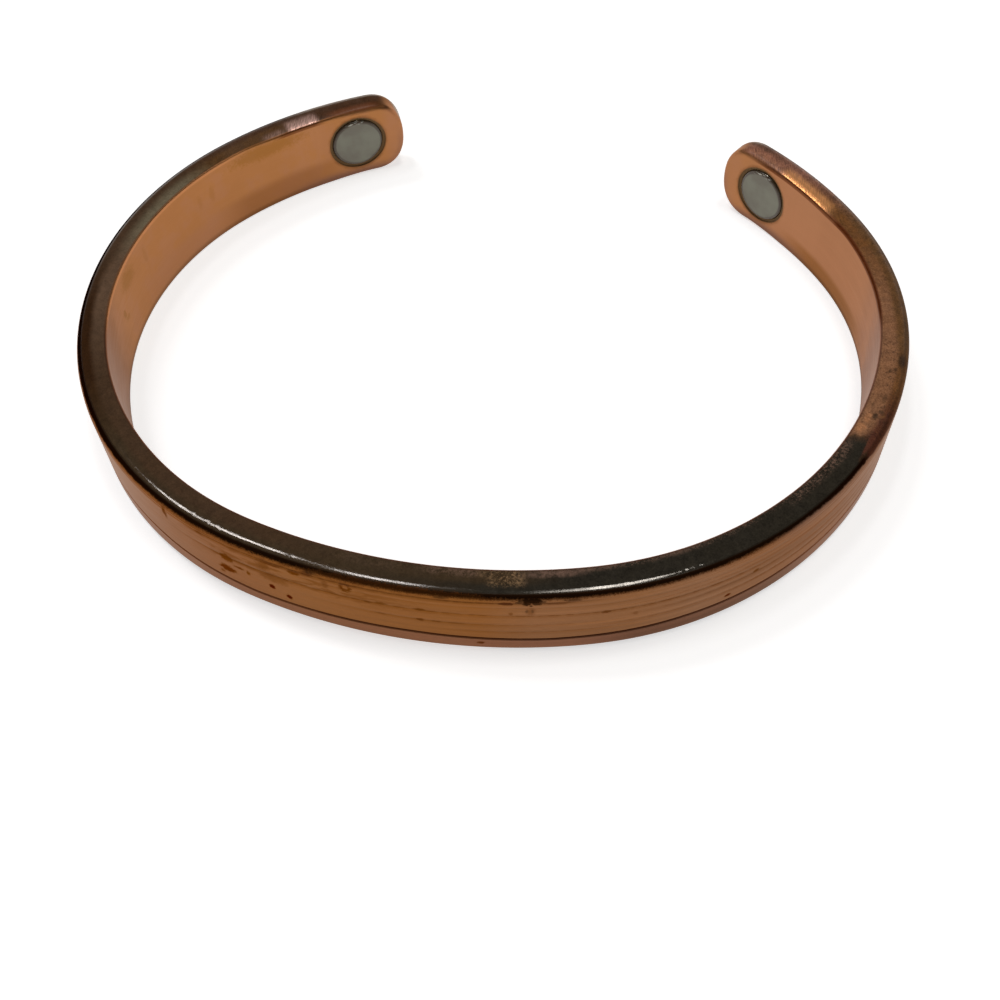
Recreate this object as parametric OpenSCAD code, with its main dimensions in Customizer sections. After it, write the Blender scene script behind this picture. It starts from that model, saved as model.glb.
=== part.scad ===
// Copper cuff bangle, resting on the edge of its band as it lies on a table.
// One bar is bent through a chain of arcs into an open oval. Its two ends are round tongues, and a small
// magnet disc sits in a round pocket inside each of them.
// The origin is on the table under the middle of the bangle, +Z is up and the opening faces +Y.

/* [Band] */
// Width of the band, which is its height as it lies
band_h = 7.5; // [6.5:0.5:9]
// Thickness of the band
band_t = 2.5; // [2.2:0.1:3]
// Radius of the outer edges, which stand as two beads beside the grooves
bead_r = 0.7; // [0.5:0.05:1]
// Radius of the inner edges
ease_r = 0.15; // [0.1:0.05:0.3]

/* [Grooves] */
// Height of the broad groove above the lower edge
low_groove_z = 1.75; // [1.4:0.05:2.5]
// Width of the broad groove
low_groove_w = 0.3; // [0.2:0.05:0.4]
// Depth of the broad groove
low_groove_d = 0.2; // [0.1:0.05:0.3]
// Flat strip between the upper bead and the fine groove
high_groove_strip = 0.05; // [0.05:0.05:0.5]
// Width of the fine groove
high_groove_w = 0.2; // [0.1:0.05:0.3]
// Depth of the fine groove
high_groove_d = 0.1; // [0.05:0.05:0.2]

/* [Ends] */
// Length of the rounded part of each tongue end
end_len = 3.2; // [2.5:0.1:4]
// Fullness of the ends, where 2 is an ellipse and more is squarer
end_fullness = 2.3; // [2:0.1:3]

/* [Magnets] */
// Diameter of each magnet disc
magnet_d = 5; // [4:0.5:5]
// Thickness of each magnet disc
magnet_t = 1; // [0.8:0.1:1.2]
// Radius of the disc's plated edges
magnet_edge_r = 0.1; // [0.05:0.05:0.2]
// Distance from each tip to the middle of its magnet
magnet_in = 4.8; // [4:0.1:8]
// Gap round each disc in its pocket
pocket_gap = 0.25; // [0.1:0.05:0.3]
// Depth of each pocket, from the inner face at its middle
pocket_depth = 0.9; // [0.7:0.1:1]

/* [Hidden] */
$fn = 96;

// Headings at which one bend meets the next, each the [sine, cosine] of the angle turned from the front.
// These are the angles of 7-24-25 and 3-4-5 triangles: their round values let the bends meet on exactly one face.
seams = [[0.28, 0.96], [0.8, 0.6], [1, 0], [0.8, -0.6]];
// The seam at which the band runs straight back, and so is widest
SIDE = 2;
// Radius of the middle line on each bend, from the front bend, which both sides share, to the tip
right_radii = [47, 29.5, 28.5, 24, 34.5];
left_radii = [47, 26.5, 26.5, 25.5, 34.5];
// Headings of the tips, in degrees
right_tip = 149.5;
left_tip = 156.5;

high_groove_z = band_h - bead_r - high_groove_strip - high_groove_w / 2;

bead_steps = 6;
ease_steps = 2;
end_steps = 24;
// How far a cutting shape passes the surface that it cuts
past = 1;
// Longer than any way across the bangle
reach = 100;

// Bends are worked out for the right half. Its middle line starts at the origin, where it runs along +X,
// and turns from heading 0 there.
function outward(seam) = [seam[0], -seam[1]];
function seam_at(heading) = [sin(heading), cos(heading)];
function centre(radii, n) = n == 0
    ? [0, radii[0]]
    : centre(radii, n - 1) + (radii[n - 1] - radii[n]) * outward(seams[n - 1]);

function last(list) = len(list) - 1;
function end_point(radii, heading, u) =
    centre(radii, last(radii)) + (radii[last(radii)] + u) * outward(seam_at(heading));
function widest(radii) = centre(radii, SIDE)[0] + radii[SIDE] + band_t / 2;

front = -band_t / 2;
back = max(end_point(right_radii, right_tip, band_t / 2)[1], end_point(left_radii, left_tip, band_t / 2)[1]);
middle = [(widest(right_radii) - widest(left_radii)) / 2, (front + back) / 2];

// Angle that a length along the middle line takes up on a bend
function angle_of(length, radius) = length / radius * 180 / PI;

function arc_points(centre, radius, from, to, steps) = [
    for (i = [0:steps])
        let (a = from + (to - from) * i / steps)
        centre + radius * [cos(a), sin(a)]
];

// A groove in the outer face, sloped on both sides, from its lower edge to its upper edge
function groove_points(z, width, depth) = [
    [band_t / 2, z - width / 2],
    [band_t / 2 - depth, z - width / 6],
    [band_t / 2 - depth, z + width / 6],
    [band_t / 2, z + width / 2],
];

// A point of the tongue's outline, from its lower edge at -90 degrees over the tip at 0 to its upper edge at 90
function end_curve(a) = [
    end_len * (1 - pow(cos(a), 2 / end_fullness)),
    band_h / 2 * (1 + sign(a) * pow(abs(sin(a)), 2 / end_fullness))
];
function run_on(from, through) = through + (through - from) * past / abs(through[1] - from[1]);

// Cross-section of the band: X is outward from the middle line, Y is up
module section() {
    inner = -band_t / 2 + ease_r;
    outer = band_t / 2 - bead_r;
    polygon(concat(
        arc_points([inner, ease_r], ease_r, 180, 270, ease_steps),
        arc_points([outer, bead_r], bead_r, 270, 360, bead_steps),
        groove_points(low_groove_z, low_groove_w, low_groove_d),
        groove_points(high_groove_z, high_groove_w, high_groove_d),
        arc_points([outer, band_h - bead_r], bead_r, 0, 90, bead_steps),
        arc_points([inner, band_h - ease_r], ease_r, 90, 180, ease_steps)
    ));
}

// A ring of the band's section, cut to the stretch between two seams
module bend(centre, radius, from, to) {
    sides = [outward(from), outward(from) + outward(to), outward(to)];
    intersection() {
        translate(centre)
            rotate_extrude()
                translate([radius, 0])
                    section();
        translate([0, 0, -past])
            linear_extrude(band_h + 2 * past)
                polygon(concat([centre], [for (side = sides) centre + reach * side]));
    }
}

module front_bend() {
    seam = seams[0];
    bend(centre(right_radii, 0), right_radii[0], [-seam[0], seam[1]], seam);
}

// Puts children where the band is at a distance from the tip: X outward, Y back along the band, Z up
module at_end(radii, tip, distance) {
    heading = tip - angle_of(distance, radii[last(radii)]);
    translate(end_point(radii, heading, 0))
        rotate(heading - 90)
            mirror([0, 1, 0])
                children();
}

// Outline of a tongue end seen from the side: X is the distance from the tip, Y is up. Its first and last edges
// run on past the band, so that they cut through its edges.
module tongue_outline() {
    curve = [for (i = [0:end_steps]) end_curve(-90 + 180 * i / end_steps)];
    polygon(concat(
        [[reach, -past], run_on(curve[1], curve[0])],
        [for (i = [1:end_steps - 1]) curve[i]],
        [run_on(curve[end_steps - 1], curve[end_steps]), [reach, band_h + past]]
    ));
}

// The last bend, which ends in the tongue
module tongue(radii, tip) {
    n = last(radii);
    beyond = seam_at(tip + angle_of(past, radii[n]));
    intersection() {
        bend(centre(radii, n), radii[n], seams[n - 1], beyond);
        at_end(radii, tip, 0)
            rotate([90, 0, -90])
                mirror([1, 0, 0])
                    linear_extrude(2 * reach, center = true)
                        tongue_outline();
    }
}

// Puts children on the floor of the round pocket, with Z out of its mouth
module in_pocket(radii, tip) {
    at_end(radii, tip, magnet_in)
        translate([-band_t / 2 + pocket_depth, 0, band_h / 2])
            rotate([0, -90, 0])
                children();
}

// The band from the end of the front bend to the tip
module side(radii, tip) {
    difference() {
        union() {
            for (n = [1:last(radii) - 1])
                bend(centre(radii, n), radii[n], seams[n - 1], seams[n]);
            tongue(radii, tip);
        }
        in_pocket(radii, tip)
            cylinder(h = pocket_depth + past, d = magnet_d + 2 * pocket_gap);
    }
}

// A magnet disc with rounded plated edges, its back on the pocket's floor
module magnet() {
    rim = magnet_d / 2 - magnet_edge_r;
    rotate_extrude()
        polygon(concat(
            [[0, 0]],
            arc_points([rim, magnet_edge_r], magnet_edge_r, 270, 360, ease_steps),
            arc_points([rim, magnet_t - magnet_edge_r], magnet_edge_r, 0, 90, ease_steps),
            [[0, magnet_t]]
        ));
}

// Moves the front of the middle line from the origin to its place in front of the bangle's middle
module centred() {
    translate(-middle)
        children();
}

module band() {
    color("#a8663a")
        centred()
            union() {
                front_bend();
                side(right_radii, right_tip);
                mirror([1, 0, 0])
                    side(left_radii, left_tip);
            }
}

module magnet_left() {
    color("#706c62")
        centred()
            mirror([1, 0, 0])
                in_pocket(left_radii, left_tip)
                    magnet();
}

module magnet_right() {
    color("#706c62")
        centred()
            in_pocket(right_radii, right_tip)
                magnet();
}

band();
magnet_left();
magnet_right();
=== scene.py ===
"""A copper cuff bangle with two magnet discs, resting on the edge of its band.

Lengths are in millimetres until a mesh is made, where MM turns them into metres. In the shapes of the band,
s is the distance along it from the front, u out from its middle line, z up, w from its outline seen from the
side and d from the nearer tip.
"""
from math import asin, cos, pi, radians, sin, tan

import bmesh
import bpy
import numpy as np
from mathutils import Matrix, Vector


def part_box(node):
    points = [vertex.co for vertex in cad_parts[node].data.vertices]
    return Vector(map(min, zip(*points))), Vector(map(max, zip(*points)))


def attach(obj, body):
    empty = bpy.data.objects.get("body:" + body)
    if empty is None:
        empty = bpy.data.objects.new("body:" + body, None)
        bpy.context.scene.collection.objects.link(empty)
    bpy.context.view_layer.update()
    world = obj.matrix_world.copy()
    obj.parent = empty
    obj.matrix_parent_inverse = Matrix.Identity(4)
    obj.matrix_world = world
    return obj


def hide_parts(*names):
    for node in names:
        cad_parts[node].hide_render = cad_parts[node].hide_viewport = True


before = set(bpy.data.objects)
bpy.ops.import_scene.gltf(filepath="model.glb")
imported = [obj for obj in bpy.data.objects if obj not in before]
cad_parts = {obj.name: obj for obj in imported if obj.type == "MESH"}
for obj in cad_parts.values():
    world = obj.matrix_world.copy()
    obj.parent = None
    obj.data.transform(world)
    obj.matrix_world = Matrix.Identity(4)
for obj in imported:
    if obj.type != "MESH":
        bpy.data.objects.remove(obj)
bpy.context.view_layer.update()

MM = 0.001

# Band
BAND_H = 7.5
BAND_T = 2.5
BEAD_R = 0.7
# The beads are flatter on top, where their rounding starts this far from the outer face
BEAD_SPAN = 0.95
EASE_R = 0.15
# The inner edge is rounded more at the tips, over the last stretch of the band
TIP_EASE_R = 0.42
TIP_EASE_FROM = 9.0
# The top is worn down towards the inner edge near the tips: how much steeper it gets with each millimetre
# inward of the middle line, the distances from the tip between which it starts and ends, and the distances
# below the top between which the points of the inner face stop following it
WORN_STEEPER = 0.36
WORN_STRETCH = (0.5, 3.5, 12.5, 17.0)
WORN_BELOW = (0.2, 0.87)

# Angles turned from the front where one bend meets the next, and the radius of the middle line on each bend
SEAMS = (asin(0.28), asin(0.8), pi / 2, pi - asin(0.8))
RIGHT_RADII = (47, 29.5, 28.5, 24, 34.5)
LEFT_RADII = (47, 26.5, 26.5, 25.5, 34.5)
RIGHT_TIP = radians(149.5)
LEFT_TIP = radians(156.5)
# Stretch over which one bend passes into the next, and the step between the points of the middle line
BLEND = 4.0
LINE_STEP = 0.05

# Tongue ends: the rounded length, and how full the curve is, where 2 is an ellipse
END_LEN = 3.2
END_FULLNESS = 2.3

# Grooves and drawn lines in the outer face: height, width, depth and the stretch of the band where they show
BROAD_GROOVE = (1.75, 0.34, 0.11)
FINE_GROOVE = (6.85, 0.18, 0.025)
DRAWN_LINES = (
    (2.85, 0.16, 0.012, 4, 16),
    (3.35, 0.2, 0.012, 14, 40),
    (3.85, 0.16, 0.012, -4, 14),
    (4.4, 0.22, 0.01, 16, 44),
    (5.15, 0.2, 0.02, -16, 26),
    (5.7, 0.2, 0.01, 16, 40),
    (6.2, 0.16, 0.008, -8, 30),
    (6.85, 0.18, 0.025, -14, 12),
)
# Half the length over which a drawn line starts and ends
LINE_FADE = 4
# How far the broad groove wanders up from its height along the band, and how much the rows near it follow
GROOVE_WANDER = ((-40, 0.3), (-22, 0.45), (-12, -0.05), (0, 0.2), (10, 0.02), (20, 0.27), (40, 0.3))
FOLLOWING_ROWS = ((BEAD_R, 0), (1.5, 1), (2.1, 1), (4.0, 0))
# Distance from the outline over which the grooves and lines run out
CARVING_FADE = 0.4

# Magnets and their pockets
MAGNET_IN = 4.8
MAGNET_R = 2.5
MAGNET_T = 1.0
MAGNET_EDGE_R = 0.24
POCKET_R = 2.75
POCKET_DEPTH = 0.9
POCKET_RIM = 0.12
# Old dirt packed round the disc, as radius and depth down the wall of the pocket
GRIME_STEPS = ((2.7, 0.13), (2.62, 0.15), (2.54, 0.16), (2.52, 0.2), (2.52, 0.6), (2.52, 0.87))
# Radii of the loops of points on the floor of a pocket
FLOOR_RADII = (2.5, 1.2)
# Depth from which the loops of points down the pocket no longer follow the curve of the inner face
FLAT_BELOW = 0.6
# Radii of the points on the back of a disc and on its face
MAGNET_BACK = (0.8, 2.16)
MAGNET_FACE = (2.14, 1.86, 1.6, 1.1, 0.6)
# Points round a disc, and across each of its rounded edges
MAGNET_ROUND = 96
MAGNET_EDGE_POINTS = 7


# The middle line of the band, seen from above

def bend_knots(radii, tip):
    """Headings where the bends of one side start and end, and their distances from the front."""
    headings = np.array([0, *SEAMS, tip])
    return headings, np.concatenate([[0], np.cumsum(radii * np.diff(headings))])


def middle_line():
    """Distance, heading, X and Y along the whole band, a little past both tips."""
    left_h, left_s = bend_knots(LEFT_RADII, LEFT_TIP)
    right_h, right_s = bend_knots(RIGHT_RADII, RIGHT_TIP)
    knots = np.concatenate([[-left_s[-1] - BLEND], -left_s[:0:-1], right_s, [right_s[-1] + BLEND]])
    turns = np.concatenate([
        [-LEFT_TIP - BLEND / LEFT_RADII[-1]], -left_h[:0:-1], right_h, [RIGHT_TIP + BLEND / RIGHT_RADII[-1]],
    ])
    s = np.arange(knots[0], knots[-1], LINE_STEP)
    half = int(BLEND / LINE_STEP / 2)
    padded = np.pad(np.interp(s, knots, turns), half, mode="reflect", reflect_type="odd")
    heading = np.convolve(padded, np.ones(2 * half + 1) / (2 * half + 1), "valid")
    between = (heading[1:] + heading[:-1]) / 2
    x = np.concatenate([[0], np.cumsum(np.cos(between)) * LINE_STEP])
    y = np.concatenate([[0], np.cumsum(np.sin(between)) * LINE_STEP])
    low, high = (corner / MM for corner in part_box("band"))
    x += high.x - BAND_T / 2 - x.max()
    y += low.y + BAND_T / 2 - np.interp(0, s, y)
    return s, heading, x, y, float(-left_s[-1]), float(right_s[-1])


LINE_S, LINE_HEADING, LINE_X, LINE_Y, LEFT_END, RIGHT_END = middle_line()


def place(s, u, z):
    """Points at distance s along the band, u out from its middle line and z up."""
    heading = np.interp(s, LINE_S, LINE_HEADING)
    x = np.interp(s, LINE_S, LINE_X) + u * np.sin(heading)
    y = np.interp(s, LINE_S, LINE_Y) - u * np.cos(heading)
    return np.stack([x, y, z + 0 * x], -1)


# The section of the band, and how it changes along it

def smooth_step(low, high, x):
    t = np.clip((x - low) / (high - low), 0, 1)
    return t * t * (3 - 2 * t)


def rounding(radius, w, span=1.0):
    """How far a rounded edge falls back from the face, at distance w from the edge, stretched span times."""
    inside = np.maximum(radius - w, 0)
    return (radius - np.sqrt(np.maximum(radius ** 2 - inside ** 2, 0))) * span


def wandering(s, z):
    """Height of a row of the outer face, where the rows near the broad groove follow it."""
    return z + np.interp(s, *zip(*GROOVE_WANDER)) * np.interp(z, *zip(*FOLLOWING_ROWS))


def trough(z, at, width, depth):
    """A groove with sloped sides and a flat floor a third as wide as its mouth."""
    return depth * np.clip((width / 2 - np.abs(z - at)) / (width / 3), 0, 1)


def carving(s, z):
    """How deep the grooves and lines are cut at row z of the outer face."""
    deep = trough(z, *BROAD_GROOVE) + trough(z, *FINE_GROOVE)
    for at, width, depth, start, end in DRAWN_LINES:
        shown = smooth_step(start - LINE_FADE, start + LINE_FADE, s)
        shown = shown * (1 - smooth_step(end - LINE_FADE, end + LINE_FADE, s))
        deep = deep + trough(z, at, width, depth) * shown
    return deep


# Rows of points on each bead, and the most room between two rows of the outer face
BEAD_ROWS = 14
ROW_STEP = 0.3


def outer_rows():
    """Heights of the mesh rows on the outer face, close together on the beads and in the grooves."""
    bead = BEAD_R * (1 - np.cos(np.linspace(0, pi / 2, BEAD_ROWS)))
    rows = list(bead) + list(BAND_H - bead)
    for at, width in [BROAD_GROOVE[:2], FINE_GROOVE[:2]] + [line[:2] for line in DRAWN_LINES]:
        rows += [at + width * k for k in (-0.5, -1 / 6, 1 / 6, 0.5)]
    rows = sorted(set(rows))
    filled = []
    for low, high in zip(rows, rows[1:]):
        parts = max(1, round((high - low) / ROW_STEP))
        filled += [low + (high - low) * k / parts for k in range(parts)]
    return np.array(filled + [BAND_H])


OUTER_ROWS = outer_rows()
ROWS = len(OUTER_ROWS)

# Heights of the rows on the rounded edge of the inner face, and of the first row of its even middle
EDGE_ROWS = np.array([0, 0.01, 0.03, 0.07, 0.13, 0.2, 0.3, 0.42])
MIDDLE_FROM = 0.55


def inner_rows():
    """Heights of as many rows on the inner face."""
    middle = np.linspace(MIDDLE_FROM, BAND_H - MIDDLE_FROM, ROWS - 2 * len(EDGE_ROWS))
    return np.concatenate([EDGE_ROWS, middle, BAND_H - EDGE_ROWS[::-1]])


INNER_ROWS = inner_rows()
# Columns across the top face, and across the end wall of each tongue
ACROSS = 9


def end_setback(z):
    """How far the tongue's outline lies from the tip, at height z."""
    off = np.abs(2 * z / BAND_H - 1)
    return END_LEN * (1 - np.maximum(1 - off ** END_FULLNESS, 0) ** (1 / END_FULLNESS))


# Outline of a tongue seen from the side, as distances from its tip and heights
OUTLINE_POINTS = 600
OUTLINE_Z = BAND_H / 2 * (1 - np.cos(np.linspace(0, pi, OUTLINE_POINTS)))
OUTLINE = np.stack([end_setback(OUTLINE_Z), OUTLINE_Z], -1)


def edge_distance(d, z):
    """Distance to the outline of the band seen from the side, at distance d from a tip."""
    w = np.minimum(z, BAND_H - z)
    near = d < END_LEN + 1
    start, step = OUTLINE[:-1], np.diff(OUTLINE, axis=0)
    away = np.stack([d[near], z[near]], -1)[:, None] - start
    share = np.clip((away * step).sum(-1) / (step ** 2).sum(-1), 0, 1)
    gaps = np.linalg.norm(away - share[..., None] * step, axis=-1)
    w[near] = np.minimum(w[near], gaps.min(1))
    return w


def tip_distance(s):
    return np.minimum(s - LEFT_END, RIGHT_END - s)


def inner_ease(d):
    return EASE_R + (TIP_EASE_R - EASE_R) * (1 - smooth_step(END_LEN, TIP_EASE_FROM, d))


def outer_u(s, z, w):
    bead = rounding(BEAD_R, w, BEAD_SPAN / BEAD_R)
    return BAND_T / 2 - bead - carving(s, z) * smooth_step(0, CARVING_FADE, w)


def inner_u(s, w):
    return -BAND_T / 2 + rounding(inner_ease(tip_distance(s)), w)


# The mesh of the band

# Distances from the end of a row of the rings near a tip
TIP_RINGS = np.array([
    0, 0.02, 0.06, 0.12, 0.2, 0.3, 0.42, 0.56, 0.72, 0.9, 1.1, 1.4, 1.75, 2.15, 2.6, 3.1, 3.7, 4.3, 5, 5.8,
    6.6, 7.4, 8.2, 9,
])
RING_STEP = 0.45
# Rings are closer round the small dents, over three times their radius, but no closer than the least gap
DENT_RING_STEP = 0.1
DENT_REACH = 3
LEAST_GAP = 0.04
# How far a dent goes inwards and downwards, as shares of its depth
DENT_SLANT = 0.7
# Dents in the upper edge: along the band, height, across, radius along, radius round, depth
DENTS = (
    (-15.5, 7.46, 0.55, 0.24, 0.25, 0.022),
    (-14.6, 7.48, 0.5, 0.2, 0.25, 0.014),
    (-16.8, 7.48, 0.5, 0.15, 0.2, 0.012),
    (-8.6, 7.47, 0.5, 0.2, 0.2, 0.008),
    (15.3, 7.46, 0.6, 0.16, 0.2, 0.012),
    (19.7, 7.44, 0.62, 0.14, 0.16, 0.01),
    (20.2, 7.45, 0.7, 0.1, 0.12, 0.008),
    (20.8, 7.45, 0.58, 0.16, 0.2, 0.01),
)


def ring_stations():
    """Distances along the band of the rings between the two tip stretches."""
    start, end = LEFT_END + TIP_RINGS[-1], RIGHT_END - TIP_RINGS[-1]
    stations = list(np.linspace(start, end, round((end - start) / RING_STEP) + 1))
    for at, _, _, length, _, _ in DENTS:
        reach = DENT_REACH * length
        stations += list(np.arange(at - reach, at + reach, DENT_RING_STEP))
    stations = np.unique(np.round(stations, 3))
    keep = np.concatenate([[True], np.diff(stations) > LEAST_GAP])
    keep[-1] = True
    return stations[keep]


def loop_columns():
    """Height of each column of a ring, and how far over it is from the outer face to the inner."""
    across = np.arange(1, ACROSS + 1) / (ACROSS + 1)
    top = np.full(ACROSS, BAND_H)
    z = np.concatenate([OUTER_ROWS, top, INNER_ROWS[::-1], 0 * top])
    over = np.concatenate([np.zeros(ROWS), across, np.ones(ROWS), 1 - across])
    return z, over


LOOP_Z, LOOP_OVER = loop_columns()
COLUMNS = len(LOOP_Z)
INNER_FIRST = ROWS + ACROSS


def ring_distances():
    """Distance along the band of every point, ring by ring."""
    setback = end_setback(LOOP_Z)
    share = TIP_RINGS[:-1, None] / TIP_RINGS[-1]
    from_tip = setback + (TIP_RINGS[-1] - setback) * share
    middle = np.repeat(ring_stations()[:, None], COLUMNS, axis=1)
    return np.concatenate([LEFT_END + from_tip, middle, RIGHT_END - from_tip[::-1]])


def dented(s, u, z):
    """Pushes the points near each dent into the band, towards the middle of its section."""
    for at, height, across, length, size, depth in DENTS:
        squared = ((s - at) / length) ** 2 + ((z - height) ** 2 + (u - across) ** 2) / size ** 2
        push = depth * np.exp(-squared)
        u = u - push * DENT_SLANT
        z = z - push * DENT_SLANT
    return u, z


def worn_place(s, u, z):
    """Points of the band, whose top is worn down towards the inner edge near the tips."""
    rise_from, rise_to, fall_from, fall_to = WORN_STRETCH
    d = tip_distance(s)
    shown = smooth_step(rise_from, rise_to, d) * (1 - smooth_step(fall_from, fall_to, d))
    shown = shown * (1 - smooth_step(*WORN_BELOW, BAND_H - z))
    return place(s, u, z - shown * WORN_STEEPER * np.maximum(-u, 0) ** 2 / 2)


# The coordinates that each point keeps: its place along the band, up and across, the row that it belongs to,
# how far it is inside a pocket and its distance from the outline. A disc keeps its own along, up, depth and
# radius.
COORDS = ("along", "height", "across", "row", "pocket", "edge")


class Builder:
    """Collects the points of a mesh, their coordinates and its faces."""

    def __init__(self):
        self.points = []
        self.coords = []
        self.faces = []

    def add(self, points, *coords):
        """Adds points with their coordinates, and returns their numbers."""
        first = sum(len(p) for p in self.points)
        self.points.append(points.reshape(-1, 3))
        self.coords.append(np.stack(np.broadcast_arrays(*coords), -1).reshape(-1, len(COORDS)))
        return first + np.arange(len(self.points[-1]))

    def quad_grid(self, numbers, closed=False):
        """Faces between the neighbours of a grid of point numbers, whose rows may close on themselves."""
        after = np.roll(numbers, -1, axis=1) if closed else numbers[:, 1:]
        before = numbers if closed else numbers[:, :-1]
        quads = np.stack([before[:-1], after[:-1], after[1:], before[1:]], -1)
        self.faces += quads.reshape(-1, 4).tolist()


def band_points(build):
    """Adds the rings of the band and returns their numbers, distances along, across and up, ring by ring."""
    s = ring_distances()
    row = np.repeat(LOOP_Z[None], len(s), axis=0)
    edge = edge_distance(tip_distance(s), row)
    outer, inner = outer_u(s, row, edge), inner_u(s, edge)
    z = np.where(LOOP_OVER == 0, wandering(s, row), row)
    u, z = dented(s, outer + (inner - outer) * LOOP_OVER, z)
    numbers = build.add(worn_place(s, u, z), s, z, u, row, 0, edge)
    return numbers.reshape(s.shape), s, u, z


def end_wall(build, ring, u, z, side):
    """Closes a tongue end with a wall from its outer rows to its inner rows."""
    tip = LEFT_END if side < 0 else RIGHT_END
    outer = slice(1, ROWS - 1)
    inner = slice(INNER_FIRST + ROWS - 2, INNER_FIRST, -1)
    top, bottom = ring[ROWS:INNER_FIRST], ring[INNER_FIRST + ROWS:][::-1]
    columns = [ring[:ROWS]]
    for k in range(ACROSS):
        share = (k + 1) / (ACROSS + 1)
        wall_z = z[outer] + (z[inner] - z[outer]) * share
        wall_u = u[outer] + (u[inner] - u[outer]) * share
        wall_s = tip - side * end_setback(wall_z)
        wall = build.add(worn_place(wall_s, wall_u, wall_z), wall_s, wall_z, wall_u, wall_z, 0, 0)
        columns.append(np.concatenate([[bottom[k]], wall, [top[k]]]))
    columns.append(ring[INNER_FIRST:INNER_FIRST + ROWS][::-1])
    build.quad_grid(np.stack(columns))


def pocket_centre(side):
    return LEFT_END + MAGNET_IN if side < 0 else RIGHT_END - MAGNET_IN


def pocket_loop(side, radius, angles, depth):
    """Points of a circle round a magnet's axis, at depths below the plane that touches the inner face."""
    s = pocket_centre(side)
    heading = np.interp(s, LINE_S, LINE_HEADING)
    along = np.array([cos(heading), sin(heading), 0])
    inward = np.array([-sin(heading), cos(heading), 0])
    x, up = radius * np.cos(angles)[:, None], radius * np.sin(angles)[:, None]
    below = np.broadcast_to(depth, angles.shape)[:, None]
    return place(s, -BAND_T / 2, BAND_H / 2) + x * along + up * [0, 0, 1] - below * inward


def face_sag(x):
    """How far the curved inner face stands inward of its tangent plane, at distance x along it."""
    radius = RIGHT_RADII[-1] - BAND_T / 2
    return radius - np.sqrt(radius ** 2 - x ** 2)


# The patch that is cut out of the inner face for a pocket: its first ring, counted from the tip, and where
# the loops of points lie between its border and the mouth of the pocket
PATCH_RING = 10
PATCH_STEPS = (0.3, 0.6, 0.85, 1.0)
# Loops down the rounded rim of a pocket
RIM_STEPS = 4
TINY = 1e-9


def cut_patch(build, numbers, side):
    """Takes the patch's faces out, and returns the rings and columns of the points round its border."""
    from_tip = np.arange(PATCH_RING, len(TIP_RINGS) - 1)
    rings = from_tip if side < 0 else len(numbers) - 1 - from_tip
    even = np.abs(LOOP_Z - BAND_H / 2) <= BAND_H / 2 - MIDDLE_FROM + TINY
    columns = np.flatnonzero((LOOP_OVER == 1) & even)
    grid = numbers[np.ix_(rings, columns)]
    patch = Builder()
    patch.quad_grid(grid)
    removed = {tuple(sorted(face)) for face in patch.faces}
    build.faces = [face for face in build.faces if tuple(sorted(face)) not in removed]
    last_ring, last_column = len(rings) - 1, len(columns) - 1
    border = [(0, j) for j in range(last_column)]
    border += [(i, last_column) for i in range(last_ring)]
    border += [(last_ring, j) for j in range(last_column, 0, -1)]
    border += [(i, 0) for i in range(last_ring, 0, -1)]
    i, j = np.array(border).T
    return rings[i], columns[j]


def pocket_profile():
    """Radius and depth of the loops down a pocket: its rounded rim, the dirt on its wall and its floor."""
    turns = [pi / 2 * k / RIM_STEPS for k in range(1, RIM_STEPS + 1)]
    rim = [(POCKET_R + POCKET_RIM * (1 - sin(a)), POCKET_RIM * (1 - cos(a))) for a in turns]
    return rim + list(GRIME_STEPS) + [(radius, POCKET_DEPTH) for radius in FLOOR_RADII]


def pocket(build, numbers, s, side):
    """Cuts a round pocket into the inner face near a tip, with a softly rounded rim."""
    rings, columns = cut_patch(build, numbers, side)
    loops = [numbers[rings, columns]]
    border_s, border_z = s[rings, columns], LOOP_Z[columns]
    centre = pocket_centre(side)
    angles = np.arctan2(border_z - BAND_H / 2, border_s - centre)
    mouth, bend = POCKET_R + POCKET_RIM, RIGHT_RADII[-1]
    mouth_s = centre + bend * np.arcsin(mouth * np.cos(angles) / (bend - BAND_T / 2))
    mouth_z = BAND_H / 2 + mouth * np.sin(angles)
    for share in PATCH_STEPS:
        loop_s = border_s + (mouth_s - border_s) * share
        loop_z = border_z + (mouth_z - border_z) * share
        edge = edge_distance(tip_distance(loop_s), loop_z)
        loop_u = inner_u(loop_s, edge)
        loops.append(build.add(worn_place(loop_s, loop_u, loop_z), loop_s, loop_z, loop_u, loop_z, 0, edge))
    for radius, depth in pocket_profile():
        x = radius * np.cos(angles)
        below = depth - face_sag(x) * (depth < FLAT_BELOW)
        points = pocket_loop(side, radius, angles, below)
        inside = np.clip((mouth - radius) / POCKET_RIM, 0, 1)
        up = points[:, 2]
        loops.append(build.add(points, centre + x, up, below - BAND_T / 2, up, inside, BAND_H / 2))
    build.quad_grid(np.stack(loops), closed=True)
    build.faces.append(loops[-1].tolist())


# Edges that bend by more than this stay sharp
SHARP_ANGLE = radians(42)


def in_scene(name, data):
    """A new object of the scene."""
    made = bpy.data.objects.new(name, data)
    bpy.context.scene.collection.objects.link(made)
    return made


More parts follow.
